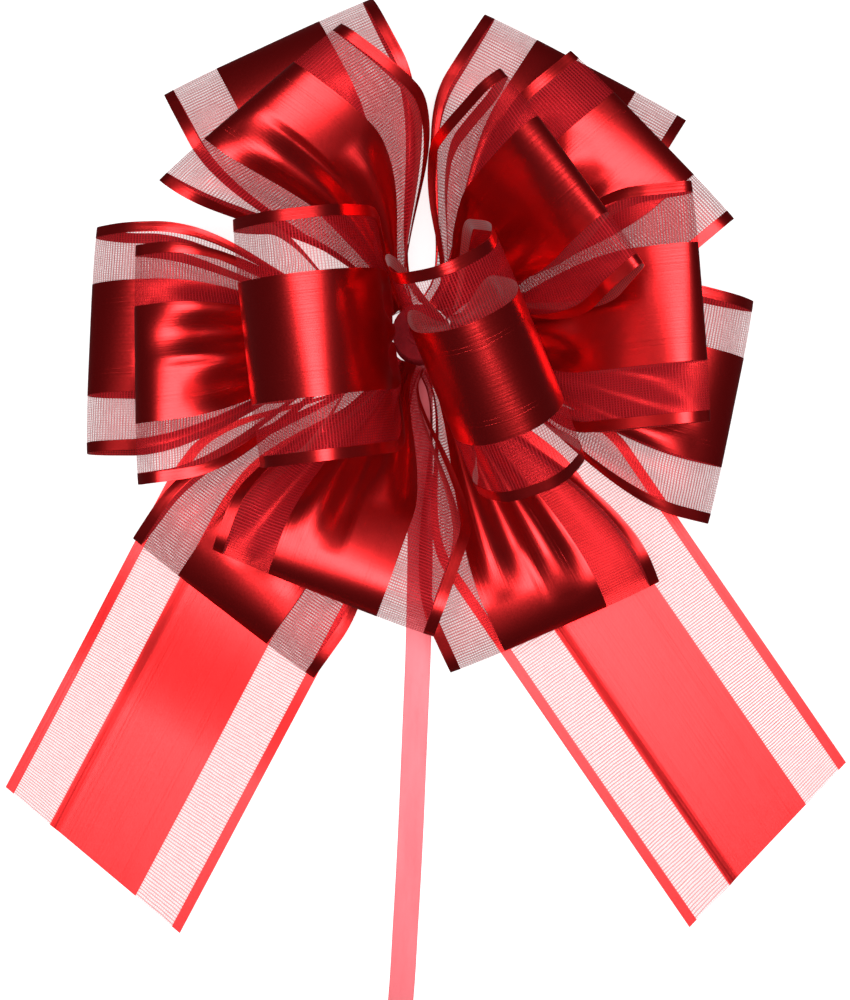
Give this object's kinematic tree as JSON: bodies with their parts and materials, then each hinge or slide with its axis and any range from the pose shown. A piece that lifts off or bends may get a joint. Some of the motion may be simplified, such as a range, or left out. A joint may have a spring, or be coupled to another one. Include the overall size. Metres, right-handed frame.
{
  "type": "pull-string gift bow",
  "caption": "Round gift bow of looped sheer and foil ribbon gathered on a pull string, with two flat tails.",
  "frame": {"origin": "centre of the flat back of the lowest tab, on the surface that the bow lies on", "axes": "+Z out of the back along the stack of tabs, -Y towards the tails and the pull string"},
  "size_m": [0.189, 0.3115, 0.0844],
  "materials": {
    "ribbon": "metallic red foil satin with sheer organza bands",
    "string": "pink satin",
    "weld": "melted ribbon"
  },
  "bodies": {
    "stack": {"weld_tab_1": "weld", "weld_tab_2": "weld", "weld_tab_3": "weld", "weld_tab_4": "weld", "weld_tab_5": "weld", "weld_tab_6": "weld", "weld_tab_7": "weld", "weld_tab_8": "weld"},
    "loop_01": {"loop_01": "ribbon"},
    "loop_02": {"loop_02": "ribbon"},
    "loop_03": {"loop_03": "ribbon"},
    "loop_04": {"loop_04": "ribbon"},
    "loop_05": {"loop_05": "ribbon"},
    "loop_06": {"loop_06": "ribbon"},
    "loop_07": {"loop_07": "ribbon"},
    "loop_08": {"loop_08": "ribbon"},
    "loop_09": {"loop_09": "ribbon"},
    "loop_10": {"loop_10": "ribbon"},
    "loop_11": {"loop_11": "ribbon"},
    "loop_12": {"loop_12": "ribbon"},
    "loop_13": {"loop_13": "ribbon"},
    "loop_14": {"loop_14": "ribbon"},
    "left_tail": {"left_tail": "ribbon"},
    "right_tail": {"right_tail": "ribbon"},
    "string_core": {"string_core": "string", "string_knot": "string"},
    "pull_string": {"string_run": "string", "string_coil": "string"}
  },
  "joints": [
    {"name": "loop_01_fan", "type": "hinge", "parent": "stack", "child": "loop_01", "pos_m": [0, 0, 0.02], "axis": [0, 0, 1], "range_deg": [-2, 2]},
    {"name": "loop_02_fan", "type": "hinge", "parent": "stack", "child": "loop_02", "pos_m": [0, 0, 0.02], "axis": [0, 0, 1], "range_deg": [-2, 2]},
    {"name": "loop_03_fan", "type": "hinge", "parent": "stack", "child": "loop_03", "pos_m": [0, 0, 0.02], "axis": [0, 0, 1], "range_deg": [-2, 2]},
    {"name": "loop_04_fan", "type": "hinge", "parent": "stack", "child": "loop_04", "pos_m": [0, 0, 0.02], "axis": [0, 0, 1], "range_deg": [-2, 2]},
    {"name": "loop_05_fan", "type": "hinge", "parent": "stack", "child": "loop_05", "pos_m": [0, 0, 0.02], "axis": [0, 0, 1], "range_deg": [-2, 2]},
    {"name": "loop_06_fan", "type": "hinge", "parent": "stack", "child": "loop_06", "pos_m": [0, 0, 0.02], "axis": [0, 0, 1], "range_deg": [-2, 2]},
    {"name": "loop_07_fan", "type": "hinge", "parent": "stack", "child": "loop_07", "pos_m": [0, 0, 0.02], "axis": [0, 0, 1], "range_deg": [-2, 2]},
    {"name": "loop_08_fan", "type": "hinge", "parent": "stack", "child": "loop_08", "pos_m": [0, 0, 0.02], "axis": [0, 0, 1], "range_deg": [-2, 2]},
    {"name": "loop_09_fan", "type": "hinge", "parent": "stack", "child": "loop_09", "pos_m": [0, 0, 0.02], "axis": [0, 0, 1], "range_deg": [-2, 2]},
    {"name": "loop_10_fan", "type": "hinge", "parent": "stack", "child": "loop_10", "pos_m": [0, 0, 0.02], "axis": [0, 0, 1], "range_deg": [-2, 2]},
    {"name": "loop_11_fan", "type": "hinge", "parent": "stack", "child": "loop_11", "pos_m": [0, 0, 0.02], "axis": [0, 0, 1], "range_deg": [-2, 2]},
    {"name": "loop_12_fan", "type": "hinge", "parent": "stack", "child": "loop_12", "pos_m": [0, 0, 0.02], "axis": [0, 0, 1], "range_deg": [-2, 2]},
    {"name": "loop_13_fan", "type": "hinge", "parent": "stack", "child": "loop_13", "pos_m": [0, 0, 0.02], "axis": [0, 0, 1], "range_deg": [-2, 2]},
    {"name": "loop_14_fan", "type": "hinge", "parent": "stack", "child": "loop_14", "pos_m": [0, 0, 0.02], "axis": [0, 0, 1], "range_deg": [-2, 2]},
    {"name": "left_tail_swing", "type": "hinge", "parent": "stack", "child": "left_tail", "pos_m": [0, 0, 0.003], "axis": [0, 0, 1], "range_deg": [-25, 6]},
    {"name": "right_tail_swing", "type": "hinge", "parent": "stack", "child": "right_tail", "pos_m": [0, 0, 0.002], "axis": [0, 0, 1], "range_deg": [-6, 25]},
    {"name": "string_pull", "type": "slide", "parent": "stack", "child": "pull_string", "axis": [0, -1, 0], "range_m": [-0.004, 0]},
    {"name": "knot_lift", "type": "slide", "parent": "stack", "child": "string_core", "axis": [0, 0, 1], "range_m": [0, 0.004]}
  ],
  "couplings": [
    {"joint": "knot_lift", "follows": "string_pull", "ratio": -1}
  ]
}
